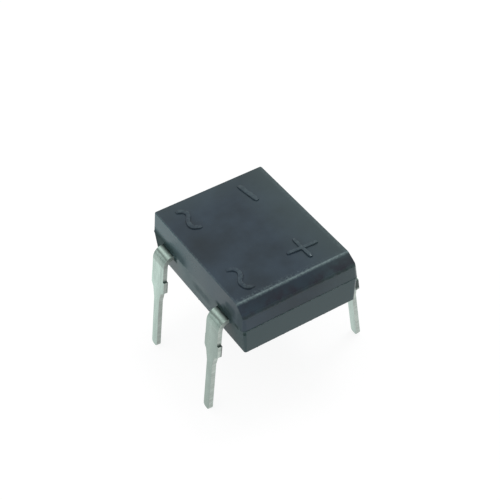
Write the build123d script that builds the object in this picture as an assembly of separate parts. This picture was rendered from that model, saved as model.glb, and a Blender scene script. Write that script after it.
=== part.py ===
from build123d import *
import math
import os

# Four-lead bridge rectifier in a moulded case that stands on its lead tips.
# Millimetres, +Z up. The two AC leads are on the -X side, the minus and plus leads on
# the +X side, and the bevelled end that marks the plus side faces -Y.
# The origin is on the plane of the lead tips, under the middle of the case.

# Moulded case, measured at the parting line between its two drafted halves
case_length = 8.36
case_width = 6.42
upper_height = 1.20
lower_height = 1.52
upper_draft = 6.2
lower_draft = 4.2
case_corner_radius = 0.22
bevel_run = 0.54
bevel_drop = 0.46
case_edge_radius = 0.04

# Leads, stamped from flat strip and bent down outside the case
strip_thickness = 0.23
strip_drop = 0.05
lead_pitch = 5.08
shoulder_width = 1.05
root_length = 0.08
bend_inner_radius = 0.36
tip_drop = 5.95
pin_width = 0.48
pin_corner_radius = 0.17

# How far each lead leans outward, in degrees, as it was bent
splay_ac_back = 8.0
splay_ac_front = 7.5
splay_minus = 6.6
splay_plus = 6.6

# What the trimming tool left of the bar that joined the leads
stub_drop = 1.46
stub_height = 0.66
stub_front_ledge = 0.10
stub_back_ledge = 0.02
neck_width = 0.74
neck_drop = 2.34
pin_start_drop = 2.92

# Inside the case: dice between two levels of bars
die_side = 1.12
die_thickness = 0.25
solder_thickness = 0.05
bar_margin = 0.07
die_pitch_y = 2.50
joggle_start = 0.34
joggle_run = 0.36
joggle_radius = 0.16
link_width = 0.60
arm_width = 0.72
bar_corner_radius = 0.12

# Levels and places worked out from the sizes above
parting_level = tip_drop
top_level = parting_level + upper_height
strip_depth = strip_drop + strip_thickness / 2
strip_middle = parting_level - strip_depth
wall_x = case_width / 2
row_y = lead_pitch / 2
bar_width = die_side + 2 * bar_margin
stack_height = die_thickness + 2 * solder_thickness
bar_offset = (stack_height + strip_thickness) / 2
joggle_outer_x = wall_x - joggle_start
joggle_inner_x = joggle_outer_x - joggle_run
column_x = joggle_inner_x / 2
rail_y = die_pitch_y / 2


def moulded_half(height, draft, direction):
    """One drafted half of the case, standing up or down from the parting line."""
    outline = Pos(0, 0, parting_level) * RectangleRounded(case_width, case_length, case_corner_radius)
    return extrude(outline, amount=height, dir=(0, 0, direction), taper=draft)


def front_bevel():
    """The wedge that the bevel takes off the front edge of the top."""
    lean = math.tan(math.radians(upper_draft))
    top_edge_y = -case_length / 2 + upper_height * lean
    bevel_top = Vector(top_edge_y + bevel_run, top_level)
    bevel_bottom = Vector(top_edge_y - bevel_drop * lean, top_level - bevel_drop)
    slope = bevel_top - bevel_bottom
    start = bevel_top + slope
    end = bevel_bottom - slope
    corner = Vector(end.X, start.Y)
    section = Plane.YZ * make_face(Polyline(start, end, corner, close=True))
    return extrude(section, amount=case_width, both=True)


def case_outside():
    """The outer form of the case as one solid."""
    solid = moulded_half(upper_height, upper_draft, 1) + moulded_half(lower_height, lower_draft, -1)
    solid -= front_bevel()
    rim_level = top_level - bevel_drop - case_edge_radius
    rim = solid.edges().filter_by(Plane.XY).filter_by(lambda edge: edge.center().Z > rim_level)
    return fillet(rim, case_edge_radius)


def strip_path(offset, splay):
    """Corner points of the strip's middle line, from its joggle inside to its tip."""
    middle_radius = bend_inner_radius + strip_thickness / 2
    tangent = middle_radius * math.tan((math.pi / 2 - splay) / 2)
    corner_x = wall_x + root_length + tangent
    tip_z = strip_thickness / 2 * math.sin(splay)
    leg_length = (strip_middle - tip_z) / math.cos(splay)
    tip_x = corner_x + leg_length * math.sin(splay)
    points = [
        (joggle_inner_x - link_width, strip_middle + offset),
        (joggle_inner_x, strip_middle + offset),
        (joggle_outer_x, strip_middle),
        (corner_x, strip_middle),
        (tip_x, tip_z),
    ]
    return points, [joggle_radius, joggle_radius, middle_radius]


def bent_strip(offset, splay):
    """The strip at its full width, bent but not yet cut to its outline."""
    points, radii = strip_path(offset, splay)
    band = trace(FilletPolyline(*points, radius=radii), line_width=strip_thickness)
    return extrude(Plane.XZ * band, amount=shoulder_width, both=True)


def lead_blank(splay):
    """The stamped outline of a lead, drawn in the plane of its splayed leg."""
    points, _ = strip_path(0, splay)
    corner = Vector(points[3][0], 0, points[3][1])
    tip = Vector(points[4][0], 0, points[4][1])
    length = (tip - corner).length

    def along(drop):
        return -(drop - strip_depth) / math.cos(splay)

    half = shoulder_width / 2
    above = length / 2
    front = -half - stub_front_ledge
    back = half + stub_back_ledge
    stub_end = stub_drop + stub_height
    outline = Polyline(
        (-half, above),
        (-half, along(stub_drop)),
        (front, along(stub_drop)),
        (front, along(stub_end)),
        (-neck_width / 2, along(neck_drop)),
        (-pin_width / 2, along(pin_start_drop)),
        (-pin_width / 2, -length),
        (pin_width / 2, -length),
        (pin_width / 2, along(pin_start_drop)),
        (neck_width / 2, along(neck_drop)),
        (back, along(stub_end)),
        (back, along(stub_drop)),
        (half, along(stub_drop)),
        (half, above),
        close=True,
    )
    face = make_face(outline)
    face = fillet(face.vertices().sort_by(Axis.Y)[:2], pin_corner_radius)
    leg_plane = Plane(corner, x_dir=(0, 1, 0), z_dir=(math.cos(splay), 0, math.sin(splay)))
    return extrude(leg_plane * face, amount=case_width, both=True)


def bar_plate(corners, level_offset):
    """A flat inner bar of a lead, from its plan corners, with rounded inner corners."""
    face = make_face(Polyline(*corners, close=True))
    face = fillet(face.vertices(), bar_corner_radius)
    bottom = strip_middle + level_offset - strip_thickness / 2
    return extrude(Pos(0, 0, bottom) * face, amount=strip_thickness)


def lead(side, row, splay_angle, corners, level_offset):
    """One lead: side is +1 or -1 in X, row is +1 or -1 in Y, corners give its inner bar."""
    splay = math.radians(splay_angle)
    outside = bent_strip(level_offset, splay) & lead_blank(splay)
    if side < 0:
        outside = mirror(outside, about=Plane.YZ)
    return Pos(0, row * row_y, 0) * outside + bar_plate(corners, level_offset)


def rail_corners(row):
    """Plan of a DC bar: it runs under two dice and links to its lead on the +X side."""
    inner = row * (rail_y - bar_width / 2)
    outer = row * (rail_y + bar_width / 2)
    lead_outer = row * (row_y + shoulder_width / 2)
    far_x = -column_x - bar_width / 2
    near_x = joggle_inner_x
    return [
        (far_x, inner),
        (near_x, inner),
        (near_x, lead_outer),
        (near_x - link_width, lead_outer),
        (near_x - link_width, outer),
        (far_x, outer),
    ]


def back_column_corners():
    """Plan of the back AC lead's bar, over the two dice on the -X side."""
    lead_inner = row_y - shoulder_width / 2
    lead_outer = row_y + shoulder_width / 2
    left = -column_x - bar_width / 2
    right = -column_x + bar_width / 2
    end_y = -rail_y - bar_width / 2
    return [
        (-joggle_inner_x, lead_inner),
        (left, lead_inner),
        (left, end_y),
        (right, end_y),
        (right, lead_outer),
        (-joggle_inner_x, lead_outer),
    ]


def front_column_corners():
    """Plan of the front AC lead's bar, which goes round to the two dice on the +X side."""
    lead_outer = -row_y - shoulder_width / 2
    arm_inner = lead_outer + arm_width
    left = column_x - bar_width / 2
    right = column_x + bar_width / 2
    end_y = rail_y + bar_width / 2
    return [
        (-joggle_inner_x, lead_outer),
        (right, lead_outer),
        (right, end_y),
        (left, end_y),
        (left, arm_inner),
        (-joggle_inner_x, arm_inner),
    ]


def square_plate(x, y, bottom, thickness):
    """A square die or solder layer at its place in plan, from its bottom level."""
    return Pos(x, y, bottom + thickness / 2) * Box(die_side, die_side, thickness)


def die_stacks():
    """The four dice and the solder under and over each of them, by node name."""
    stack_bottom = strip_middle - stack_height / 2
    die_bottom = stack_bottom + solder_thickness
    solder_top = die_bottom + die_thickness
    plates = {}
    for end, y in (("back", rail_y), ("front", -rail_y)):
        for side, x in (("left", -column_x), ("right", column_x)):
            place = f"{end}_{side}"
            plates[f"solder_under_die_{place}"] = square_plate(x, y, stack_bottom, solder_thickness)
            plates[f"die_{place}"] = square_plate(x, y, die_bottom, die_thickness)
            plates[f"solder_over_die_{place}"] = square_plate(x, y, solder_top, solder_thickness)
    return plates


def build():
    """All nodes of the rectifier by name, with the case moulded round what it holds."""
    nodes = {
        "lead_ac_back": lead(-1, 1, splay_ac_back, back_column_corners(), bar_offset),
        "lead_ac_front": lead(-1, -1, splay_ac_front, front_column_corners(), bar_offset),
        "lead_minus": lead(1, 1, splay_minus, rail_corners(1), -bar_offset),
        "lead_plus": lead(1, -1, splay_plus, rail_corners(-1), -bar_offset),
    }
    nodes.update(die_stacks())
    case = case_outside()
    for held in nodes.values():
        case -= held
    nodes["moulded_case"] = case
    return nodes


os.makedirs("parts", exist_ok=True)
for name, solid in build().items():
    export_step(solid, f"parts/{name}.step")
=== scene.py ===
"""Look of a four-lead bridge rectifier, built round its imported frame.

Lengths are in metres. The AC leads are on the -X side, the minus and plus leads on the +X
side, and the bevelled end of the case faces -Y. The lead tips stand on the floor at Z 0.
"""

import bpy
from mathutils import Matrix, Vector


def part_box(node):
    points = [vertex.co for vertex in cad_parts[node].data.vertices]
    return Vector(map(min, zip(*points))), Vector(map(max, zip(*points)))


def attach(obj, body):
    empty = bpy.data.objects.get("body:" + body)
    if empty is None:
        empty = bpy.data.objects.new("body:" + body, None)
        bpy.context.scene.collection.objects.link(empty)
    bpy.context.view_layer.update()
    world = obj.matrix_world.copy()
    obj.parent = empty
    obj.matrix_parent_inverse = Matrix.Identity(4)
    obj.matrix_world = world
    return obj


bl_info = {
    "name": "Bridge rectifier look",
    "version": (1, 0, 0),
    "blender": (4, 5, 0),
    "location": "3D View > Sidebar > Rectifier",
    "description": "Finishes, raised marks, mould flash and studio of a bridge rectifier",
    "category": "Object",
}

import math

import bmesh
import bpy
from mathutils import Matrix, Vector

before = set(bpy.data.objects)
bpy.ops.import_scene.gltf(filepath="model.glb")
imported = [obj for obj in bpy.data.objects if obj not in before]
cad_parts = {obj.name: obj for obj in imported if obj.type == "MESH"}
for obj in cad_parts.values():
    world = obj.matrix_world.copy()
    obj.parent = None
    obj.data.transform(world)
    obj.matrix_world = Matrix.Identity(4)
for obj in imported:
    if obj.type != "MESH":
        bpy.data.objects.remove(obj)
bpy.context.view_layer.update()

MM = 0.001
BODY = "root"
LEADS = ("lead_ac_back", "lead_ac_front", "lead_minus", "lead_plus")
case_low, case_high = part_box("moulded_case")

# Draft of both halves of the case, and how far its bevel runs back and drops, in millimetres
UPPER_DRAFT = math.radians(6.2)
LOWER_DRAFT = math.radians(4.2)
BEVEL_RUN = 0.59
BEVEL_DROP = 0.46

# Middle of each row of leads along Y, drop of the stubs' middle under the parting line and the
# reach that holds a whole stub, in millimetres, and how far a leg leans outward for its drop
ROW_Y = 2.54
STUB_DROP = 1.79
STUB_REACH = 0.4
LEG_SLOPE = 0.1317

# Half of the band, in millimetres, over which the finish changes at the parting line
SEAM = 0.02

# Vertices this near to a level lie on it, and grown points this near to each other are one
TOUCH = 0.01 * MM
MERGE = 0.0005 * MM

# A lead's face turned this far toward Y is a sheared side
SHEARED_TURN = 0.6

# How deep the marks' feet are sunk in the case, and their step and wobble along the strokes
MARK_SINK = 0.05 * MM
MARK_STEP = 0.03 * MM
MARK_WOBBLE = 0.14 * MM

# Distance and side of both lamps, how far the floor seen by the camera glows by itself, and
# the share of its colour that still takes light and shadow
LAMP_DISTANCE = 0.15
LAMP_SIDE = 0.04
FLOOR_GLOW = 0.86
FLOOR_SHARE = 0.25


def corners_near(node, axis, level, reach):
    """Lowest and highest corner of a node's mesh within reach of a level along an axis."""
    found = [v.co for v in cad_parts[node].data.vertices if abs(v.co[axis] - level) < reach]
    low = Vector(min(p[i] for p in found) for i in range(3))
    high = Vector(max(p[i] for p in found) for i in range(3))
    return low, high


def parting_level():
    """Height of the parting line, where the case is widest."""
    widest = max(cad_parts["moulded_case"].data.vertices, key=lambda v: v.co.x)
    return widest.co.z


class MarkSizes(bpy.types.PropertyGroup):
    """Sizes and places of the raised marks on the top of the case."""

    top_width: bpy.props.FloatProperty(
        name="Top width", description="Width of a stroke at its top", default=0.13 * MM, unit="LENGTH")
    base_width: bpy.props.FloatProperty(
        name="Base width", description="Width of a stroke where it meets the case",
        default=0.40 * MM, unit="LENGTH")
    height: bpy.props.FloatProperty(
        name="Height", description="How far a stroke stands above the case",
        default=0.085 * MM, unit="LENGTH")
    edge_radius: bpy.props.FloatProperty(
        name="Edge radius", description="Rounding along a stroke's upper edges",
        default=0.07 * MM, unit="LENGTH")
    back_wave: bpy.props.FloatVectorProperty(
        name="Back wave", description="Middle of the wave far from the bevel", size=2,
        subtype="TRANSLATION", default=(-1.97 * MM, 2.63 * MM), precision=6)
    front_wave: bpy.props.FloatVectorProperty(
        name="Front wave", description="Middle of the wave near the bevel", size=2,
        subtype="TRANSLATION", default=(-2.04 * MM, -2.18 * MM), precision=6)
    minus: bpy.props.FloatVectorProperty(
        name="Minus", description="Middle of the minus", size=2,
        subtype="TRANSLATION", default=(1.41 * MM, 2.66 * MM), precision=6)
    plus: bpy.props.FloatVectorProperty(
        name="Plus", description="Middle of the plus", size=2,
        subtype="TRANSLATION", default=(1.42 * MM, -2.12 * MM), precision=6)
    length: bpy.props.FloatProperty(
        name="Length", description="Length of the minus and the plus along Y",
        default=1.46 * MM, unit="LENGTH")
    wave_length: bpy.props.FloatProperty(
        name="Wave length", description="Length of a wave along Y", default=1.54 * MM, unit="LENGTH")
    arm_length: bpy.props.FloatProperty(
        name="Arm length", description="Length of the arm of the plus along X",
        default=1.62 * MM, unit="LENGTH")
    worn_height: bpy.props.FloatProperty(
        name="Worn height", description="How far the worn strokes of the waves and the minus stand up",
        default=0.072 * MM, unit="LENGTH")
    worn_spread: bpy.props.FloatProperty(
        name="Worn spread", description="How much wider the worn strokes are",
        default=0.05 * MM, unit="LENGTH")
    wave_swing: bpy.props.FloatProperty(
        name="Wave swing", description="How far a wave swings to each side",
        default=0.165 * MM, unit="LENGTH")
    wave_hook: bpy.props.FloatProperty(
        name="Wave hook", description="How far the ends of a wave hook over",
        default=0.28 * MM, unit="LENGTH")
    minus_turn: bpy.props.FloatProperty(
        name="Minus turn", description="How far the minus is turned on the case",
        default=math.radians(8), subtype="ANGLE")
    plus_turn: bpy.props.FloatProperty(
        name="Plus turn", description="How far the plus is turned on the case",
        default=math.radians(-3), subtype="ANGLE")


class FlashSizes(bpy.types.PropertyGroup):
    """Sizes of the resin that the mould left on the case."""

    line_radius: bpy.props.FloatProperty(
        name="Parting bead", description="Radius of the thin bead along the parting line",
        default=0.014 * MM, precision=6, unit="LENGTH")
    root_radius: bpy.props.FloatProperty(
        name="Root bead", description="Radius of the resin bead round a lead where it leaves the case",
        default=0.06 * MM, precision=6, unit="LENGTH")
    crumb_size: bpy.props.FloatProperty(
        name="Crumb size", description="Largest radius of a crumb of resin on an edge",
        default=0.022 * MM, precision=6, unit="LENGTH")
    crumb_gap: bpy.props.FloatProperty(
        name="Crumb gap", description="Mean distance between two crumbs along an edge",
        default=0.16 * MM, precision=6, unit="LENGTH")


class Finishes(bpy.types.PropertyGroup):
    """Colours of the finishes."""

    moulding: bpy.props.FloatVectorProperty(
        name="Moulding", description="Black epoxy of the case", subtype="COLOR",
        default=(0.022, 0.037, 0.056))
    filler: bpy.props.FloatVectorProperty(
        name="Filler", description="Pale grains in the epoxy", subtype="COLOR",
        default=(0.075, 0.105, 0.115))
    # Also painted highlights along the bevel's upper edge and on the marks' tops.
    worn: bpy.props.FloatVectorProperty(
        name="Worn edge", description="Dry epoxy along the worn edges", subtype="COLOR",
        default=(0.16, 0.22, 0.23))
    lower_half: bpy.props.FloatVectorProperty(
        name="Lower half", description="Epoxy below the parting line", subtype="COLOR",
        default=(0.010, 0.040, 0.047))
    # Painted sheen: the epoxy is painted paler toward the DC side and the back.
    painted_sheen: bpy.props.FloatVectorProperty(
        name="Haze", description="Paler epoxy toward the DC side and the back", subtype="COLOR",
        default=(0.050, 0.076, 0.079))
    # Painted sheen: the AC wall is painted paler and greener, most toward the back, in place of its
    # reflection.
    wall_sheen: bpy.props.FloatVectorProperty(
        name="Bloom", description="Release wax left on the AC wall", subtype="COLOR",
        default=(0.036, 0.108, 0.127))
    blotch: bpy.props.FloatVectorProperty(
        name="Blotch", description="Dark blotches on the bevel", subtype="COLOR",
        default=(0.016, 0.010, 0.022))
    # Also painted shade round and under the lead roots and along the front's parting line.
    bleed_and_shade: bpy.props.FloatVectorProperty(
        name="Bleed", description="Dark resin bled round the leads", subtype="COLOR",
        default=(0.016, 0.037, 0.034))
    # Also painted shade on the AC wall beside the roots, under the parting line, on its lower half and
    # toward its front.
    dull: bpy.props.FloatVectorProperty(
        name="Dull patch", description="Dull epoxy of the AC wall, beside the bled resin",
        subtype="COLOR", default=(0.045, 0.070, 0.075))
    crumb: bpy.props.FloatVectorProperty(
        name="Crumbs", description="Dry resin dust on the edges", subtype="COLOR",
        default=(0.16, 0.20, 0.20))
    tin: bpy.props.FloatVectorProperty(
        name="Tin", description="Matte tin plating of the leads", subtype="COLOR",
        default=(0.455, 0.59, 0.53))
    # Also painted shade over the tops of the strips and their upper bends.
    tarnish_and_shade: bpy.props.FloatVectorProperty(
        name="Tarnish", description="Dulled tin of the front leads", subtype="COLOR",
        default=(0.275, 0.345, 0.31))
    # Also painted shade across the fold of the bends and along each lead's front edge.
    smear_and_shade: bpy.props.FloatVectorProperty(
        name="Smear", description="Resin smeared on the leads beside the case", subtype="COLOR",
        default=(0.06, 0.08, 0.075))
    sheared: bpy.props.FloatVectorProperty(
        name="Sheared side", description="Sheared sides of the leads", subtype="COLOR",
        default=(0.41, 0.465, 0.43))
    # Also painted shade on the sheared sides of the back leads.
    torn_and_shade: bpy.props.FloatVectorProperty(
        name="Torn edge", description="Inner edge of the stubs, where the trimming tool tore",
        subtype="COLOR", default=(0.13, 0.14, 0.135))
    silicon: bpy.props.FloatVectorProperty(
        name="Silicon", description="Lapped silicon of the dice", subtype="COLOR",
        default=(0.22, 0.23, 0.26))
    solder: bpy.props.FloatVectorProperty(
        name="Solder", description="Dull solder at the dice", subtype="COLOR",
        default=(0.55, 0.56, 0.57))


class StageSizes(bpy.types.PropertyGroup):
    """Camera, lamps and floor."""

    azimuth: bpy.props.FloatProperty(
        name="Azimuth", description="Turn of the camera round the part",
        default=math.radians(-30.449), subtype="ANGLE")
    elevation: bpy.props.FloatProperty(
        name="Elevation", description="Camera's angle above the floor",
        default=math.radians(43.366), subtype="ANGLE")
    roll: bpy.props.FloatProperty(
        name="Roll", description="Turn of the camera about its own line of sight",
        default=math.radians(-2.802), subtype="ANGLE")
    distance: bpy.props.FloatProperty(
        name="Distance", description="From the camera to its target", default=61.0 * MM, unit="LENGTH")
    target: bpy.props.FloatVectorProperty(
        name="Target", description="Point in the middle of the picture", subtype="TRANSLATION",
        default=(-0.1738 * MM, 0.0, 6.2238 * MM), precision=6)
    lens: bpy.props.FloatProperty(
        name="Focal length", description="For a sensor 36 mm wide, in millimetres",
        default=91.66, subtype="DISTANCE_CAMERA")
    floor: bpy.props.FloatProperty(
        name="Floor", description="Side of the square floor", default=0.8, unit="LENGTH")
    floor_colour: bpy.props.FloatVectorProperty(
        name="Floor colour", description="Pale floor", subtype="COLOR", default=(0.84, 0.84, 0.84))


def add(tree, kind, inputs=None, **settings):
    """A new node with its settings; each input is set to a value or linked to an output."""
    node = tree.nodes.new(kind)
    for key, value in settings.items():
        setattr(node, key, value)
    for key, value in (inputs or {}).items():
        if isinstance(value, bpy.types.NodeSocket):
            tree.links.new(value, node.inputs[key])
        else:
            node.inputs[key].default_value = value
    return node


def new_material(name):
    """An empty material with its output node, as (material, tree, output)."""
    material = bpy.data.materials.new(name)
    material.use_nodes = True
    tree = material.node_tree
    tree.nodes.clear()
    return material, tree, tree.nodes.new("ShaderNodeOutputMaterial")


def millimetres(tree, scale=(1.0, 1.0, 1.0)):
    """Object coordinates counted in millimetres, stretched by a scale."""
    place = add(tree, "ShaderNodeTexCoord")
    stretch = tuple(part / MM for part in scale)
    grid = add(tree, "ShaderNodeMapping", {"Vector": place.outputs["Object"], "Scale": stretch})
    return grid.outputs["Vector"]


def noise(tree, vector, scale, detail=3.0, roughness=0.55):
    """Noise with so many features for each millimetre."""
    made = add(tree, "ShaderNodeTexNoise", {
        "Vector": vector, "Scale": scale, "Detail": detail, "Roughness": roughness})
    return made.outputs["Fac"]


def calculate(tree, operation, first, second=0.0):
    """One step of arithmetic in a tree."""
    made = add(tree, "ShaderNodeMath", {0: first, 1: second}, operation=operation)
    return made.outputs[0]


def product(tree, first, *others):
    """The product of some values."""
    for value in others:
        first = calculate(tree, "MULTIPLY", first, value)
    return first


def largest(tree, first, *others):
    """The largest of some values."""
    for value in others:
        first = calculate(tree, "MAXIMUM", first, value)
    return first


def spread(tree, value, low, high, start=0.3, end=0.7):
    """A value between start and end, spread from low to high."""
    made = add(tree, "ShaderNodeMapRange", {
        "Value": value, "From Min": start, "From Max": end, "To Min": low, "To Max": high})
    return made.outputs["Result"]


def blend_colours(tree, factor, first, second):
    """A mix of two colours, each a value or another mix."""
    made = add(tree, "ShaderNodeMix", data_type="RGBA")
    for index, value in ((0, factor), (6, first), (7, second)):
        if isinstance(value, bpy.types.NodeSocket):
            tree.links.new(value, made.inputs[index])
        else:
            made.inputs[index].default_value = value
    return made.outputs[2]


def layered(tree, colour, layers):
    """A colour under some layers, each given as a mask and the colour that it lays over."""
    for mask, paint in layers:
        colour = blend_colours(tree, mask, colour, paint)
    return colour


def opaque(colour, share=1.0):
    """A colour with its alpha, brightened or darkened by a share."""
    return tuple(min(part * share, 1.0) for part in colour) + (1.0,)


def near(tree, value, level, reach, core=0.0):
    """One where a value is within its core of a level, falling to zero at its reach."""
    away = calculate(tree, "ABSOLUTE", calculate(tree, "SUBTRACT", value, level))
    return spread(tree, away, 1.0, 0.0, start=core, end=reach)


def patch(tree, axes, middle, reach, core):
    """A soft box of ones round a middle; each is given in millimetres along X, Y and Z."""
    return product(tree, *(near(tree, axes[i], middle[i], reach[i], core[i]) for i in range(3)))


def surface(tree, output, inputs, height=None, strength=0.2, depth=0.004 * MM):
    """Ends a material in one surface shader, roughened by a height where one is given."""
    if height is not None:
        bump = add(tree, "ShaderNodeBump", {"Height": height, "Strength": strength, "Distance": depth})
        inputs = {**inputs, "Normal": bump.outputs["Normal"]}
    shader = add(tree, "ShaderNodeBsdfPrincipled", inputs)
    tree.links.new(shader.outputs["BSDF"], output.inputs["Surface"])


# Dark resin and painted shade on the AC wall, round, under and beside the lead roots. Each line has its
# middle along Y and above the parting line, its core and its reach along the same two axes, in
# millimetres, and its strength.
DARK_RESIN_AND_SHADE = (
    ((3.10, -0.05), (0.80, 0.15), (1.40, 0.50), 0.95),
    ((4.00, -0.55), (0.60, 0.55), (0.95, 0.95), 0.96),
    ((2.30, -0.36), (0.30, 0.14), (0.50, 0.26), 0.95),
    ((-2.45, 0.00), (0.45, 0.07), (0.80, 0.24), 0.92),
    ((-2.85, 0.15), (0.25, 0.12), (0.50, 0.36), 0.88),
    ((-3.62, -0.08), (0.11, 0.07), (0.22, 0.16), 1.00),
)

# Dull places on the AC wall, in the same form, which also paint shade: beside both roots, the streak
# under the parting line, a painted shadow under the flash, and the front end.
DULL_AND_SHADED_PLACES = (
    ((1.60, 0.15), (0.35, 0.12), (1.00, 0.42), 0.75),
    ((-3.05, 0.50), (0.30, 0.15), (0.60, 0.40), 0.75),
    ((-0.40, -0.65), (0.50, 0.15), (1.50, 0.60), 0.64),
    ((-3.95, 0.40), (0.20, 0.40), (0.60, 0.90), 0.60),
    ((-3.20, -0.10), (0.25, 0.10), (0.60, 0.35), 0.60),
)


def moulding_material(name, colours):
    """Black filled epoxy: clouded colour, filler grains, worn edges, stained places and a fine grain,
    with painted highlights, painted sheen and painted shade.
    """
    material, tree, output = new_material(name)
    place = millimetres(tree)
    axes = add(tree, "ShaderNodeSeparateXYZ", {0: place}).outputs
    grain = noise(tree, place, 16.0, detail=4.0, roughness=0.65)
    fray = noise(tree, place, 7.0, detail=4.0, roughness=0.7)
    cloud = spread(tree, noise(tree, place, 0.42), 0.0, 1.0, start=0.36, end=0.64)
    resin = blend_colours(tree, cloud, opaque(colours.moulding, 0.72), opaque(colours.moulding, 1.30))
    specks = add(tree, "ShaderNodeTexVoronoi", {"Vector": place, "Scale": 9.0})
    grains = spread(tree, specks.outputs["Distance"], 0.45, 0.0, start=0.05, end=0.15)
    # Painted sheen: paler toward the DC side and the back.
    right = spread(tree, axes["X"], 0.0, 0.80, start=0.6, end=3.1)
    back = spread(tree, axes["Y"], 0.0, 0.45, start=2.6, end=4.1)
    # A darker patch on the top's left middle.
    dark_top_patch = patch(tree, axes, (-2.3, 0.6, case_high.z / MM),
                   reach=(1.1, 2.1, 0.1), core=(0.2, 0.5, 0.05))
    # Painted sheen on the AC wall, growing toward the back.
    rear = spread(tree, axes["Y"], 0.12, 1.0, start=-3.0, end=4.0)
    dull_and_shaded, bled = stains_and_shade(tree, axes, fray)
    colour = layered(tree, resin, (
        (grains, opaque(colours.filler)),
        (largest(tree, right, back), opaque(colours.painted_sheen)),
        (product(tree, dark_top_patch, 0.55), opaque(colours.moulding, 0.3)),
        (lower_half(tree, axes), opaque(colours.lower_half)),
        (product(tree, ac_wall(tree, axes), rear), opaque(colours.wall_sheen)),
        (bevel_blotches(tree, place, axes), opaque(colours.blotch)),
        (wear_and_highlights(tree, axes, fray), opaque(colours.worn)),
        (dull_and_shaded, opaque(colours.dull)),
        (bled, opaque(colours.bleed_and_shade)),
    ))
    polish = spread(tree, cloud, 0.17, 0.25, start=0.0, end=1.0)
    dull = product(tree, largest(tree, dull_and_shaded, bled), 0.75)
    surface(tree, output, {
        "Base Color": colour, "Roughness": calculate(tree, "ADD", polish, dull),
        "IOR": 1.45, "Specular Tint": (0.86, 1.0, 1.0, 1.0)}, height=grain)
    return material


def ac_wall(tree, axes):
    """One on the wall that the AC leads leave from."""
    wall, parting = case_high.x / MM, parting_level() / MM
    lean = spread(tree, axes["Z"], math.tan(LOWER_DRAFT), math.tan(UPPER_DRAFT),
                  start=parting - SEAM, end=parting + SEAM)
    rise = calculate(tree, "ABSOLUTE", calculate(tree, "SUBTRACT", axes["Z"], parting))
    out = calculate(tree, "SUBTRACT", product(tree, lean, rise), axes["X"])
    return spread(tree, out, 0.0, 1.0, start=wall - 0.025, end=wall - 0.008)


def lower_half(tree, axes):
    """One below the parting line."""
    parting = parting_level() / MM
    return spread(tree, axes["Z"], 1.0, 0.0, start=parting - SEAM, end=parting + SEAM)


def bevel_blotches(tree, place, axes):
    """Where the bevel is blotched, more so toward its foot."""
    top_low, _ = corners_near("moulded_case", 2, case_high.z, TOUCH)
    down = calculate(tree, "SUBTRACT", case_high.z / MM, axes["Z"])
    forward = calculate(tree, "SUBTRACT", top_low.y / MM, axes["Y"])
    away = calculate(tree, "SUBTRACT", down, product(tree, forward, BEVEL_DROP / BEVEL_RUN))
    on_bevel = product(tree, near(tree, away, 0.0, reach=0.09, core=0.05),
                       spread(tree, forward, 0.0, 1.0, start=0.03, end=0.08))
    clouds = spread(tree, noise(tree, place, 1.5, roughness=0.6), 0.0, 0.85, start=0.40, end=0.60)
    low = spread(tree, down, 0.35, 1.0, start=0.10, end=0.40)
    return product(tree, clouds, low, on_bevel)


def wear_and_highlights(tree, axes, fray):
    """Where the epoxy is painted pale: a painted highlight along the bevel's upper edge with a painted
    sheen fading back from it, the worn rims, and the marks' tops, partly worn and partly a painted
    highlight.
    """
    top_low, top_high = corners_near("moulded_case", 2, case_high.z, TOUCH)
    top, bevel_edge, rim_edge = case_high.z / MM, top_low.y / MM, top_high.x / MM
    level = near(tree, axes["Z"], top, reach=0.09, core=0.03)
    # Painted highlight along the bevel's upper edge, broken up.
    beside = near(tree, axes["Y"], bevel_edge + 0.01, reach=0.10, core=0.01)
    chipped = spread(tree, fray, 0.50, 1.25, start=0.40, end=0.62)
    # Painted sheen fading back over the top from that highlight, in specks, stronger toward the AC side.
    behind = spread(tree, axes["Y"], 0.55, 0.0, start=bevel_edge, end=bevel_edge + 0.34)
    leftward = spread(tree, axes["X"], 1.0, 0.35, start=0.2, end=2.2)
    specks = spread(tree, fray, 0.0, 1.0, start=0.47, end=0.60)
    rim = near(tree, calculate(tree, "ABSOLUTE", axes["X"]), rim_edge, reach=0.09, core=0.03)
    chalky = spread(tree, axes["X"], 0.0, 1.3, start=rim_edge - 0.28, end=rim_edge)
    broken = spread(tree, fray, 0.15, 1.0, start=0.40, end=0.62)
    # The marks' tops, partly worn and partly a painted highlight.
    raised = spread(tree, axes["Z"], 0.0, 1.0, start=top + 0.045, end=top + 0.075)
    patchy = spread(tree, fray, 0.0, 0.20, start=0.38, end=0.60)
    return largest(
        tree, product(tree, beside, level, chipped), product(tree, behind, leftward, specks, level),
        product(tree, largest(tree, rim, chalky), level, broken, 0.35), product(tree, raised, patchy))


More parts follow.
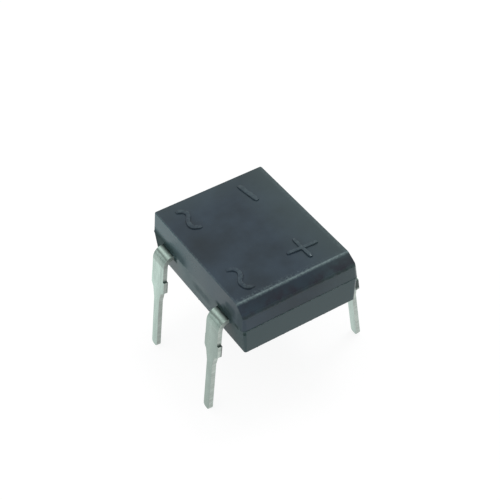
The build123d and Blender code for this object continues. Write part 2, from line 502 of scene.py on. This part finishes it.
def stains_and_shade(tree, axes, fray):
    """Where the epoxy is dull and where dark resin bled, both also holding painted shade, as (dull,
    dark).
    """
    front, wall = case_low.y / MM, case_high.x / MM
    top, parting = case_high.z / MM, parting_level() / MM
    on_wall = ac_wall(tree, axes)
    ragged = spread(tree, fray, 0.75, 1.0)

    def strongest(places, others):
        """The strongest of some places and of the others, on the wall and ragged."""
        found = others
        for (y, z), (core_y, core_z), (reach_y, reach_z), strength in places:
            along = near(tree, axes["Y"], y, reach_y, core_y)
            upward = near(tree, axes["Z"], parting + z, reach_z, core_z)
            found = largest(tree, found, product(tree, along, upward, strength, on_wall))
        return product(tree, found, ragged)

    outward = [axes["X"], calculate(tree, "ABSOLUTE", axes["Y"]), axes["Z"]]
    # Painted shade round the lead roots.
    roots = patch(tree, outward, (wall, ROW_Y, parting), reach=(0.5, 1.1, 0.4), core=(0.3, 0.5, 0.12))
    bevel_foot = patch(tree, axes, (0.0, front + 0.11, top - 0.47),
                       reach=(4.0, 0.10, 0.14), core=(3.2, 0.03, 0.02))
    # Painted shadow of the parting bead along the front face.
    front_line = patch(tree, axes, (0.0, front, parting - 0.03),
                       reach=(4.0, 0.06, 0.06), core=(3.2, 0.04, 0.02))
    tick = patch(tree, axes, (-3.10, front + 0.04, parting - 0.22),
                 reach=(0.08, 0.08, 0.14), core=(0.04, 0.04, 0.08))
    dark = largest(
        tree, product(tree, roots, 0.9),
        product(tree, bevel_foot, spread(tree, fray, 0.3, 0.8, start=0.42, end=0.60)),
        product(tree, front_line, spread(tree, fray, 0.2, 0.9, start=0.42, end=0.60)),
        product(tree, tick, 0.9))
    # Painted shade toward the front of the AC wall and over its lower half.
    forward = calculate(tree, "ADD", spread(tree, axes["Y"], 0.27, 0.06, start=-3.5, end=3.0),
                        product(tree, lower_half(tree, axes), 0.20))
    return strongest(DULL_AND_SHADED_PLACES, product(tree, forward, on_wall)), strongest(DARK_RESIN_AND_SHADE, dark)


def tin_material(name, colours):
    """Matte tin on strip from the rolling mill: soft streaks along the lead, tarnished tin, smeared
    resin, and painted shade and a painted highlight over the bends.
    """
    material, tree, output = new_material(name)
    place = millimetres(tree)
    axes = add(tree, "ShaderNodeSeparateXYZ", {0: place}).outputs
    wall, parting = case_high.x / MM, parting_level() / MM
    bend_low, bend_high = parting - 0.66, parting - 0.58
    streaks = noise(tree, millimetres(tree, (5.0, 5.0, 0.7)), 1.0)
    pits = noise(tree, place, 9.0, roughness=0.6)
    fresh = blend_colours(tree, spread(tree, streaks, 0.0, 1.0),
                          opaque(colours.tin, 0.84), opaque(colours.tin, 1.16))
    front = product(tree, spread(tree, axes["Y"], 1.0, 0.0, start=-2.0, end=0.0),
                    spread(tree, axes["X"], 1.0, 0.0, start=-1.0, end=1.0),
                    spread(tree, axes["Z"], 1.0, 0.80, start=bend_low, end=bend_high))
    tips = spread(tree, axes["Z"], 0.38, 0.0, start=2.0, end=4.0)
    # Painted shade: the tarnished tone laid over each strip's top and upper bends, dimming their
    # highlight.
    dimmed_bend = spread(tree, axes["Z"], 0.0, 0.70, start=bend_low, end=bend_high)
    fray = spread(tree, noise(tree, place, 3.5, detail=2.0), -0.025, 0.025)
    out = calculate(tree, "ADD", calculate(tree, "ABSOLUTE", axes["X"]), fray)
    # Painted highlight: the tarnished tone is lifted from the lower arc of the bends, so fresh tin shows
    # there.
    lit_bend = product(tree, spread(tree, out, 0.0, 1.0, start=wall + 0.44, end=wall + 0.49),
                     spread(tree, axes["Z"], 0.0, 1.0, start=parting - 0.36, end=parting - 0.28))
    patchy = product(tree, spread(tree, noise(tree, place, 0.9), 0.7, 1.0),
                     calculate(tree, "SUBTRACT", 1.0, lit_bend))
    smear_and_shade = spread(tree, out, 0.95, 0.0, start=wall + 0.11, end=wall + 0.26)
    # Painted shade: a dark line across the fold, just past the highlight of the bends.
    crease_shade = product(tree, near(tree, out, wall + 0.42, reach=0.06, core=0.015), 0.4)
    # Painted shade: each lead darkens toward its front edge.
    row = product(tree, calculate(tree, "SIGN", axes["Y"]), ROW_Y)
    front_edge_shade = spread(tree, calculate(tree, "SUBTRACT", axes["Y"], row), 0.20, 0.0, start=-0.35, end=0.10)
    colour = layered(tree, fresh, (
        (product(tree, patchy, largest(tree, front, tips, dimmed_bend)), opaque(colours.tarnish_and_shade)),
        (largest(tree, smear_and_shade, crease_shade, front_edge_shade), opaque(colours.smear_and_shade)),
    ))
    surface(tree, output, {
        "Base Color": colour, "Metallic": 1.0, "Roughness": spread(tree, pits, 0.22, 0.28)}, height=pits)
    return material


def sheared_material(name, colours):
    """The sheared sides of the strip: rough, lined down the thickness and ripped at the stubs, with
    painted shade on the back leads.
    """
    material, tree, output = new_material(name)
    axes = add(tree, "ShaderNodeSeparateXYZ", {0: millimetres(tree)}).outputs
    parting = parting_level() / MM
    stub = parting - STUB_DROP
    low, high = corners_near("lead_plus", 2, stub * MM, STUB_REACH * MM)
    middle = (low.x + high.x) / 2 / MM
    tears = noise(tree, millimetres(tree, (2.0, 2.0, 9.0)), 1.0, detail=4.0)
    tone = blend_colours(tree, spread(tree, tears, 0.0, 1.0),
                         opaque(colours.sheared, 0.8), opaque(colours.sheared, 1.2))
    # Painted shade: the sheared sides are painted darker on the back leads.
    behind = spread(tree, axes["Y"], 0.0, 0.30, start=-1.0, end=1.0)
    level = product(tree, calculate(tree, "SUBTRACT", axes["Z"], stub), LEG_SLOPE)
    depth = calculate(tree, "ADD", calculate(tree, "ABSOLUTE", axes["X"]), level)
    inner = spread(tree, depth, 1.0, 0.0, start=middle - 0.06, end=middle - 0.01)
    at_stub = near(tree, axes["Z"], stub, reach=0.34, core=0.30)
    # Darker top of the front face of the plus lead's stub.
    dark_stub_ledge = product(tree, spread(tree, axes["X"], 0.0, 0.95, start=1.0, end=2.0),
                    spread(tree, axes["Y"], 1.0, 0.0, start=low.y / MM + 0.02, end=low.y / MM + 0.05),
                    spread(tree, axes["Z"], 0.0, 1.0, start=parting - 2.10, end=parting - 1.98))
    colour = layered(tree, tone, (
        (behind, opaque(colours.torn_and_shade)),
        (product(tree, inner, at_stub, 0.8), opaque(colours.torn_and_shade)),
        (dark_stub_ledge, opaque(colours.smear_and_shade, 0.8)),
    ))
    surface(tree, output, {"Base Color": colour, "Metallic": 1.0, "Roughness": 0.42},
            height=tears, strength=0.4, depth=0.008 * MM)
    return material


def plain_metal_material(name, colour, roughness, scale):
    """A dull, mottled metal for the pieces sealed in the case."""
    material, tree, output = new_material(name)
    mottle = noise(tree, millimetres(tree), scale)
    tone = blend_colours(tree, spread(tree, mottle, 0.0, 1.0), opaque(colour, 0.8), opaque(colour, 1.1))
    surface(tree, output, {"Base Color": tone, "Metallic": 1.0, "Roughness": roughness}, height=mottle)
    return material


def crumb_material(name, colours):
    """Dry dust of resin and filler."""
    material, tree, output = new_material(name)
    mottle = spread(tree, noise(tree, millimetres(tree), 6.0), 0.0, 1.0)
    tone = blend_colours(tree, mottle, opaque(colours.crumb, 0.5), opaque(colours.crumb, 1.5))
    surface(tree, output, {"Base Color": tone, "Roughness": 0.7})
    return material


def dress(nodes, material):
    """Gives every slot of some CAD nodes a material."""
    for name in nodes:
        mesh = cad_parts[name].data
        mesh.materials.clear()
        mesh.materials.append(material)


def material_named(name, make, *settings):
    """The material of that name, made when it is first asked for."""
    return bpy.data.materials.get(name) or make(name, *settings)


def new_tree(name, inputs):
    """A Geometry Nodes tree with named inputs, as (tree, input node, output node)."""
    tree = bpy.data.node_groups.new(name, "GeometryNodeTree")
    tree.interface.new_socket("Geometry", in_out="INPUT", socket_type="NodeSocketGeometry")
    for label, kind in inputs:
        tree.interface.new_socket(label, in_out="INPUT", socket_type=kind)
    tree.interface.new_socket("Geometry", in_out="OUTPUT", socket_type="NodeSocketGeometry")
    return tree, tree.nodes.new("NodeGroupInput"), tree.nodes.new("NodeGroupOutput")


def finish_tree(tree, source, material, output):
    """Ends a tree with Realize Instances and Set Material."""
    real = add(tree, "GeometryNodeRealizeInstances", {"Geometry": source})
    flat = add(tree, "GeometryNodeSetShadeSmooth", {"Geometry": real.outputs[0], "Shade Smooth": False})
    painted = add(tree, "GeometryNodeSetMaterial", {"Geometry": flat.outputs[0], "Material": material})
    tree.links.new(painted.outputs[0], output.inputs[0])


def even_curve(tree, wanted):
    """The guide of a tree as a curve with points at an even step."""
    path = add(tree, "GeometryNodeMeshToCurve", {"Mesh": wanted["Geometry"]})
    even = add(tree, "GeometryNodeResampleCurve", {"Curve": path.outputs[0], "Length": wanted["Step"]},
               mode="LENGTH")
    return even.outputs[0]


def stroke_tree():
    """Strokes with a flat top and sloped sides and ends, along the edges of a guide."""
    tree, source, output = new_tree("raised_strokes", (
        ("Top Width", "NodeSocketFloat"), ("Base Width", "NodeSocketFloat"),
        ("Height", "NodeSocketFloat"), ("Edge Radius", "NodeSocketFloat"), ("Step", "NodeSocketFloat"),
        ("Wobble", "NodeSocketVector"), ("Material", "NodeSocketMaterial")))
    wanted = source.outputs
    even = even_curve(tree, wanted)
    upright = add(tree, "GeometryNodeSetCurveNormal", {"Curve": even}, mode="Z_UP")
    along = add(tree, "GeometryNodeSplineParameter")
    whole = add(tree, "GeometryNodeSplineLength")
    left = calculate(tree, "SUBTRACT", whole.outputs["Length"], along.outputs["Length"])
    to_end = calculate(tree, "MINIMUM", along.outputs["Length"], left)
    rise = spread(tree, to_end, 0.72, 1.0, start=0.0, end=wanted["Top Width"])
    place = add(tree, "GeometryNodeInputPosition")
    waves = add(tree, "ShaderNodeTexNoise", {
        "Vector": place.outputs[0], "Scale": 2.2 / MM, "Detail": 2.0})
    uneven = calculate(tree, "ADD", product(tree, waves.outputs["Fac"], 0.55), 0.76)
    aside = add(tree, "ShaderNodeVectorMath", {0: waves.outputs["Color"], 1: (0.5, 0.5, 0.5)},
                operation="SUBTRACT")
    level = add(tree, "ShaderNodeVectorMath", {0: aside.outputs[0], 1: wanted["Wobble"]},
                operation="MULTIPLY")
    shaky = add(tree, "GeometryNodeSetPosition", {
        "Geometry": upright.outputs[0], "Offset": level.outputs[0]})
    section = add(tree, "GeometryNodeCurvePrimitiveQuadrilateral", {
        "Bottom Width": wanted["Base Width"], "Top Width": wanted["Top Width"],
        "Offset": 0.0, "Height": wanted["Height"]}, mode="TRAPEZOID")
    rounded = add(tree, "GeometryNodeFilletCurve", {
        "Curve": section.outputs[0], "Radius": wanted["Edge Radius"], "Limit Radius": True, "Count": 3},
        mode="POLY")
    lift = add(tree, "ShaderNodeCombineXYZ", {"Y": product(tree, wanted["Height"], -0.5)})
    seated = add(tree, "GeometryNodeTransform", {
        "Geometry": rounded.outputs[0], "Translation": lift.outputs[0],
        "Rotation": (0.0, 0.0, math.pi)})
    swept = add(tree, "GeometryNodeCurveToMesh", {
        "Curve": shaky.outputs[0], "Profile Curve": seated.outputs[0],
        "Scale": product(tree, rise, uneven), "Fill Caps": True})
    joined = add(tree, "GeometryNodeMeshBoolean", {
        "Mesh 2": swept.outputs[0], "Self Intersection": True}, operation="UNION", solver="EXACT")
    finish_tree(tree, joined.outputs[0], wanted["Material"], output)
    return tree


def bead_tree():
    """Uneven beads along the edges of a guide."""
    tree, source, output = new_tree("mould_beads", (
        ("Radius", "NodeSocketFloat"), ("Step", "NodeSocketFloat"), ("Unevenness", "NodeSocketFloat"),
        ("Seed", "NodeSocketFloat"), ("Material", "NodeSocketMaterial")))
    wanted = source.outputs
    even = even_curve(tree, wanted)
    place = add(tree, "GeometryNodeInputPosition")
    waves = add(tree, "ShaderNodeTexNoise", {
        "Vector": place.outputs[0], "W": wanted["Seed"], "Scale": 4.0 / MM, "Detail": 2.0},
        noise_dimensions="4D")
    centred = calculate(tree, "SUBTRACT", waves.outputs["Fac"], 0.5)
    share = calculate(tree, "ADD", product(tree, centred, wanted["Unevenness"]), 1.0)
    ring = add(tree, "GeometryNodeCurvePrimitiveCircle", {"Resolution": 8, "Radius": wanted["Radius"]})
    swept = add(tree, "GeometryNodeCurveToMesh", {
        "Curve": even, "Profile Curve": ring.outputs[0], "Scale": share, "Fill Caps": True})
    finish_tree(tree, swept.outputs[0], wanted["Material"], output)
    return tree


def crumb_tree():
    """Crumbs scattered along the edges of a guide."""
    tree, source, output = new_tree("edge_crumbs", (
        ("Size", "NodeSocketFloat"), ("Gap", "NodeSocketFloat"), ("Seed", "NodeSocketInt"),
        ("Material", "NodeSocketMaterial")))
    wanted = source.outputs
    path = add(tree, "GeometryNodeMeshToCurve", {"Mesh": wanted["Geometry"]})
    spots = add(tree, "GeometryNodeCurveToPoints", {"Curve": path.outputs[0], "Length": wanted["Gap"]},
                mode="LENGTH")
    shift = add(tree, "FunctionNodeRandomValue", {
        "Min": product(tree, wanted["Gap"], -1.0), "Max": wanted["Gap"],
        "Seed": wanted["Seed"]}, data_type="FLOAT_VECTOR")
    spots_along = add(tree, "ShaderNodeVectorMath", {0: shift.outputs[0], 1: spots.outputs["Tangent"]},
                      operation="PROJECT")
    moved = add(tree, "GeometryNodeSetPosition", {
        "Geometry": spots.outputs["Points"], "Offset": spots_along.outputs[0]})
    turn = add(tree, "FunctionNodeRandomValue", {
        "Min": (0.0, 0.0, 0.0), "Max": (6.28, 6.28, 6.28),
        "Seed": wanted["Seed"]}, data_type="FLOAT_VECTOR")
    draw = add(tree, "FunctionNodeRandomValue", {2: 0.0, 3: 1.0, "Seed": wanted["Seed"]})
    small = calculate(tree, "POWER", draw.outputs[1], 2.5)
    size = product(tree, calculate(tree, "ADD", product(tree, small, 0.8), 0.2), wanted["Size"])
    stone = add(tree, "GeometryNodeMeshIcoSphere", {"Radius": 1.0, "Subdivisions": 1})
    placed = add(tree, "GeometryNodeInstanceOnPoints", {
        "Points": moved.outputs[0], "Instance": stone.outputs[0], "Rotation": turn.outputs[0],
        "Scale": size})
    finish_tree(tree, placed.outputs[0], wanted["Material"], output)
    return tree


def guide_mesh(name, lines):
    """A mesh of edges only, from lists of points; a closed line is given as (points, True)."""
    mesh = bpy.data.meshes.new(name)
    points = []
    edges = []
    for line, closed in lines:
        first = len(points)
        points.extend(line)
        edges.extend((first + i, first + i + 1) for i in range(len(line) - 1))
        if closed:
            edges.append((len(points) - 1, first))
    mesh.from_pydata(points, edges, [])
    return mesh


def grow(name, lines, tree, values):
    """A plain mesh piece that a tree grows along guide lines, riding on the part."""
    piece = bpy.data.objects.new(name, guide_mesh(name + "_guide", lines))
    bpy.context.scene.collection.objects.link(piece)
    modifier = piece.modifiers.new(tree.name, "NODES")
    modifier.node_group = tree
    for item in tree.interface.items_tree:
        if item.in_out == "INPUT" and item.name in values:
            modifier[item.identifier] = values[item.name]
    settled = piece.evaluated_get(bpy.context.evaluated_depsgraph_get())
    grown = bpy.data.meshes.new_from_object(settled)
    piece.modifiers.remove(modifier)
    piece.data = grown
    grown.name = name
    shell = bmesh.new()
    shell.from_mesh(grown)
    # Merging can open a hole of one triangle, which is filled again
    bmesh.ops.remove_doubles(shell, verts=shell.verts, dist=MERGE)
    bmesh.ops.holes_fill(shell, edges=shell.edges, sides=3)
    bmesh.ops.recalc_face_normals(shell, faces=shell.faces)
    shell.to_mesh(grown)
    shell.free()
    if not grown.polygons:
        raise RuntimeError(f"{name} came out empty")
    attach(piece, BODY)
    return piece


def wave_line(sizes, centre, level):
    """Points of one AC wave round its centre on a level."""
    x, y = centre
    count = 49
    sharpness = 15
    line = []
    for i in range(count):
        share = i / (count - 1)
        swing = sizes.wave_swing * math.sin(math.tau * share)
        hook = sizes.wave_hook * (2 * share - 1) ** sharpness
        line.append((x + swing + hook, y + sizes.wave_length * (0.5 - share), level))
    return line


def straight_line(centre, level, length, turn):
    """Ends of a stroke of some length through its centre, turned from +Y."""
    x, y = centre
    reach = Vector((-math.sin(turn), math.cos(turn), 0.0)) * (length / 2)
    middle = Vector((x, y, level))
    return [middle + reach, middle - reach]


class RECTIFIER_OT_case(bpy.types.Operator):
    """Finish the moulded case"""

    bl_idname = "rectifier.case"
    bl_label = "Moulded case"

    def execute(self, context):
        colours = context.scene.rectifier_finishes
        dress(["moulded_case"], material_named("black_epoxy", moulding_material, colours))
        return {"FINISHED"}


class RECTIFIER_OT_leads(bpy.types.Operator):
    """Finish the four leads"""

    bl_idname = "rectifier.leads"
    bl_label = "Leads"

    def execute(self, context):
        colours = context.scene.rectifier_finishes
        dress(LEADS, material_named("matte_tin", tin_material, colours))
        sheared = material_named("sheared_tin", sheared_material, colours)
        for name in LEADS:
            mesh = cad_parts[name].data
            mesh.materials.append(sheared)
            for face in mesh.polygons:
                if abs(face.normal.y) > SHEARED_TURN:
                    face.material_index = 1
        return {"FINISHED"}


class RECTIFIER_OT_dice(bpy.types.Operator):
    """Finish the dice and their solder, sealed in the case"""

    bl_idname = "rectifier.dice"
    bl_label = "Dice and solder"

    def execute(self, context):
        colours = context.scene.rectifier_finishes
        dice = [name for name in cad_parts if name.startswith("die_")]
        solder = [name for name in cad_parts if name.startswith("solder_")]
        silicon = plain_metal_material("lapped_silicon", colours.silicon, roughness=0.3, scale=3.0)
        alloy = plain_metal_material("dull_solder", colours.solder, roughness=0.5, scale=7.0)
        dress(dice, silicon)
        dress(solder, alloy)
        return {"FINISHED"}


class RECTIFIER_OT_marks(bpy.types.Operator):
    """Raise the two AC waves, the minus and the plus on the top of the case"""

    bl_idname = "rectifier.marks"
    bl_label = "Raised marks"

    def execute(self, context):
        sizes = context.scene.rectifier_marks
        level = case_high.z - MARK_SINK
        marks = {
            "mark_ac_back": [wave_line(sizes, sizes.back_wave, level)],
            "mark_ac_front": [wave_line(sizes, sizes.front_wave, level)],
            "mark_minus": [straight_line(sizes.minus, level, sizes.length, sizes.minus_turn)],
            "mark_plus": [
                straight_line(sizes.plus, level, sizes.length, 0.0),
                straight_line(sizes.plus, level, sizes.arm_length, math.pi / 2 + sizes.plus_turn),
            ],
        }
        tree = stroke_tree()
        epoxy = material_named("black_epoxy", moulding_material, context.scene.rectifier_finishes)
        for name, lines in marks.items():
            crisp = name == "mark_plus"
            height = sizes.height if crisp else sizes.worn_height
            wider = 0.0 if crisp else sizes.worn_spread
            piece = grow(name, [(line, False) for line in lines], tree, {
                "Top Width": sizes.top_width + wider, "Base Width": sizes.base_width + wider,
                "Height": height + MARK_SINK, "Edge Radius": sizes.edge_radius, "Step": MARK_STEP,
                "Wobble": (MARK_WOBBLE, MARK_WOBBLE, 0.0), "Material": epoxy})
        return {"FINISHED"}


class RECTIFIER_OT_flash(bpy.types.Operator):
    """Lay the thin bead of resin along the parting line and round each lead's root"""

    bl_idname = "rectifier.flash"
    bl_label = "Mould flash"

    def execute(self, context):
        sizes = context.scene.rectifier_flash
        epoxy = material_named("black_epoxy", moulding_material, context.scene.rectifier_finishes)
        tree = bead_tree()
        line = grow("parting_flash", self.parting_lines(), tree, {
            "Radius": sizes.line_radius, "Step": 0.05 * MM, "Unevenness": 2.4, "Seed": 3.0,
            "Material": epoxy})
        for number, lead in enumerate(LEADS):
            bead = grow("root_resin_" + lead.removeprefix("lead_"), [self.root_loop(lead)], tree, {
                "Radius": sizes.root_radius, "Step": 0.04 * MM, "Unevenness": 1.4,
                "Seed": 11.0 + number, "Material": epoxy})
        return {"FINISHED"}

    def parting_lines(self):
        """The case's outline at the parting level, but for the AC wall, which has no bead."""
        level = parting_level()
        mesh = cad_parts["moulded_case"].data
        reach = TOUCH / 2
        rim = [v.co.copy() for v in mesh.vertices if abs(v.co.z - level) < reach]
        inside = 0.3 * MM
        edge = [p for p in rim if p.x > case_high.x - inside or abs(p.y) > case_high.y - inside]
        edge.sort(key=lambda p: math.atan2(p.y, p.x))
        outline = []
        for point in edge:
            if not outline or (point - outline[-1]).length > reach:
                outline.append(point)
        return [(outline, False)]

    def root_loop(self, lead):
        """The lead's section at the wall, as a closed line round it."""
        side = -1 if lead.startswith("lead_ac") else 1
        bend_start = 0.08 * MM
        low, high = corners_near(lead, 0, side * (case_high.x + bend_start), 2 * TOUCH)
        x = side * (case_high.x - TOUCH)
        return [(x, low.y, low.z), (x, high.y, low.z), (x, high.y, high.z), (x, low.y, high.z)], True


class RECTIFIER_OT_crumbs(bpy.types.Operator):
    """Scatter crumbs of dry resin along the worn edges of the case"""

    bl_idname = "rectifier.crumbs"
    bl_label = "Edge crumbs"

    def execute(self, context):
        sizes = context.scene.rectifier_flash
        top_low, top_high = corners_near("moulded_case", 2, case_high.z, TOUCH)
        foot_low, foot_high = corners_near("moulded_case", 2, case_low.z, TOUCH)
        lines = [
            [(top_low.x, top_low.y, case_high.z), (top_high.x, top_low.y, case_high.z)],
            [(foot_low.x, foot_low.y, case_low.z), (foot_high.x, foot_low.y, case_low.z)],
            [(foot_low.x, foot_low.y, case_low.z), (foot_low.x, foot_high.y, case_low.z)],
            [(foot_high.x, foot_low.y, case_low.z), (foot_high.x, foot_high.y, case_low.z)],
            [(foot_low.x, foot_high.y, case_low.z), (foot_high.x, foot_high.y, case_low.z)],
        ]
        dust = material_named("resin_dust", crumb_material, context.scene.rectifier_finishes)
        inset = 2 * sizes.crumb_gap
        trimmed = []
        for ends in lines:
            first, last = Vector(ends[0]), Vector(ends[1])
            step = (last - first).normalized() * inset
            trimmed.append(([first + step, last - step], False))
        piece = grow("edge_crumbs", trimmed, crumb_tree(), {
            "Size": sizes.crumb_size, "Gap": sizes.crumb_gap, "Seed": 5, "Material": dust})
        return {"FINISHED"}


def floor_material(name, colour):
    """A pale floor that looks white, keeps the shadow and lights the part as it is."""
    material, tree, output = new_material(name)
    ray = add(tree, "ShaderNodeLightPath").outputs
    seen = largest(tree, ray["Is Glossy Ray"], ray["Is Transmission Ray"], ray["Is Camera Ray"])
    plain = add(tree, "ShaderNodeBsdfDiffuse", {"Color": opaque(colour)})
    glow = add(tree, "ShaderNodeEmission", {"Strength": FLOOR_GLOW})
    shaded = add(tree, "ShaderNodeBsdfDiffuse", {"Color": opaque(colour, FLOOR_SHARE)})
    both = add(tree, "ShaderNodeAddShader", {0: glow.outputs[0], 1: shaded.outputs[0]})
    mixed = add(tree, "ShaderNodeMixShader", {0: seen, 1: plain.outputs[0], 2: both.outputs[0]})
    tree.links.new(mixed.outputs[0], output.inputs["Surface"])
    material.cycles.emission_sampling = "NONE"
    return material


def soft_sky():
    """A soft white surround, dimmer near the horizon and in front, above the camera."""
    world = bpy.data.worlds.new("soft_sky")
    world.use_nodes = True
    tree = world.node_tree
    tree.nodes.clear()
    place = add(tree, "ShaderNodeTexCoord")
    split = add(tree, "ShaderNodeSeparateXYZ", {0: place.outputs["Generated"]})
    height = add(tree, "ShaderNodeMapRange", {
        "Value": split.outputs["Z"], "From Min": 0.0, "From Max": 0.5, "To Min": 0.56, "To Max": 1.0},
        interpolation_type="SMOOTHSTEP")
    depth = add(tree, "ShaderNodeMapRange", {
        "Value": split.outputs["Y"], "From Min": -0.55, "From Max": 0.15, "To Min": 0.78, "To Max": 1.0},
        interpolation_type="SMOOTHSTEP")
    strength = product(tree, height.outputs["Result"], depth.outputs["Result"])
    sky = add(tree, "ShaderNodeBackground", {"Strength": strength})
    output = add(tree, "ShaderNodeOutputWorld")
    tree.links.new(sky.outputs[0], output.inputs["Surface"])
    return world


def lamp(name, direction, radiance):
    """A square lamp of some radiance that looks at the part from a direction."""
    light = bpy.data.lights.new(name, "AREA")
    light.shape = "SQUARE"
    light.size = LAMP_SIDE
    light.energy = radiance * math.pi * LAMP_SIDE * LAMP_SIDE
    placed = bpy.data.objects.new(name, light)
    bpy.context.scene.collection.objects.link(placed)
    toward = Vector(direction).normalized()
    placed.location = toward * LAMP_DISTANCE
    placed.rotation_mode = "QUATERNION"
    placed.rotation_quaternion = toward.to_track_quat("Z", "Y")


class RECTIFIER_OT_stage(bpy.types.Operator):
    """Set the floor, the soft light and the camera"""

    bl_idname = "rectifier.stage"
    bl_label = "Stage"

    def execute(self, context):
        stage = context.scene.rectifier_stage
        context.scene.view_settings.view_transform = "Standard"
        context.scene.world = soft_sky()
        self.lay_floor(stage)
        lamp("overhead_softbox", (0.37, 0.12, 0.91), 5.4)
        lamp("back_softbox", (-0.29, 0.63, 0.72), 0.85)
        self.set_camera(stage)
        return {"FINISHED"}

    def lay_floor(self, stage):
        """A square floor on which the lead tips stand."""
        half = stage.floor / 2
        mesh = bpy.data.meshes.new("floor")
        corners = [(-half, -half, 0.0), (half, -half, 0.0), (half, half, 0.0), (-half, half, 0.0)]
        mesh.from_pydata(corners, [], [(0, 1, 2, 3)])
        mesh.materials.append(floor_material("pale_floor", stage.floor_colour))
        floor = bpy.data.objects.new("floor", mesh)
        bpy.context.scene.collection.objects.link(floor)

    def set_camera(self, stage):
        """The camera, from its angles round the target."""
        a, e, r = stage.azimuth, stage.elevation, stage.roll
        back = Vector((math.sin(a) * math.cos(e), -math.cos(a) * math.cos(e), math.sin(e)))
        level = Vector((math.cos(a), math.sin(a), 0.0))
        upward = back.cross(level)
        right = math.cos(r) * level + math.sin(r) * upward
        up = -math.sin(r) * level + math.cos(r) * upward
        data = bpy.data.cameras.new("camera")
        data.lens = stage.lens
        data.clip_start = 1.0 * MM
        data.clip_end = 10.0
        camera = bpy.data.objects.new("camera", data)
        bpy.context.scene.collection.objects.link(camera)
        turn = Matrix((right, up, back)).transposed().to_4x4()
        camera.matrix_world = Matrix.Translation(Vector(stage.target) + back * stage.distance) @ turn
        bpy.context.scene.camera = camera


OPERATORS = (
    RECTIFIER_OT_case,
    RECTIFIER_OT_leads,
    RECTIFIER_OT_dice,
    RECTIFIER_OT_marks,
    RECTIFIER_OT_flash,
    RECTIFIER_OT_crumbs,
    RECTIFIER_OT_stage,
)
SETTINGS = {
    "rectifier_marks": MarkSizes,
    "rectifier_flash": FlashSizes,
    "rectifier_finishes": Finishes,
    "rectifier_stage": StageSizes,
}


class RECTIFIER_PT_panel(bpy.types.Panel):
    """Sizes, colours and steps of the rectifier's look"""

    bl_idname = "RECTIFIER_PT_panel"
    bl_label = "Bridge rectifier"
    bl_space_type = "VIEW_3D"
    bl_region_type = "UI"
    bl_category = "Rectifier"

    def draw(self, context):
        for name, group in SETTINGS.items():
            box = self.layout.box()
            for key in group.__annotations__:
                box.prop(getattr(context.scene, name), key)
        for operator in OPERATORS:
            self.layout.operator(operator.bl_idname)


def register():
    """Registers the settings, the operators and the panel."""
    for name, group in SETTINGS.items():
        bpy.utils.register_class(group)
        setattr(bpy.types.Scene, name, bpy.props.PointerProperty(type=group))
    for operator in OPERATORS:
        bpy.utils.register_class(operator)
    bpy.utils.register_class(RECTIFIER_PT_panel)


def unregister():
    """Removes what register added."""
    bpy.utils.unregister_class(RECTIFIER_PT_panel)
    for operator in reversed(OPERATORS):
        bpy.utils.unregister_class(operator)
    for name, group in SETTINGS.items():
        delattr(bpy.types.Scene, name)
        bpy.utils.unregister_class(group)


def main():
    """Builds the look in order."""
    register()
    bpy.ops.rectifier.case()
    bpy.ops.rectifier.leads()
    bpy.ops.rectifier.dice()
    bpy.ops.rectifier.marks()
    bpy.ops.rectifier.flash()
    bpy.ops.rectifier.crumbs()
    bpy.ops.rectifier.stage()


if __name__ == "__main__":
    main()
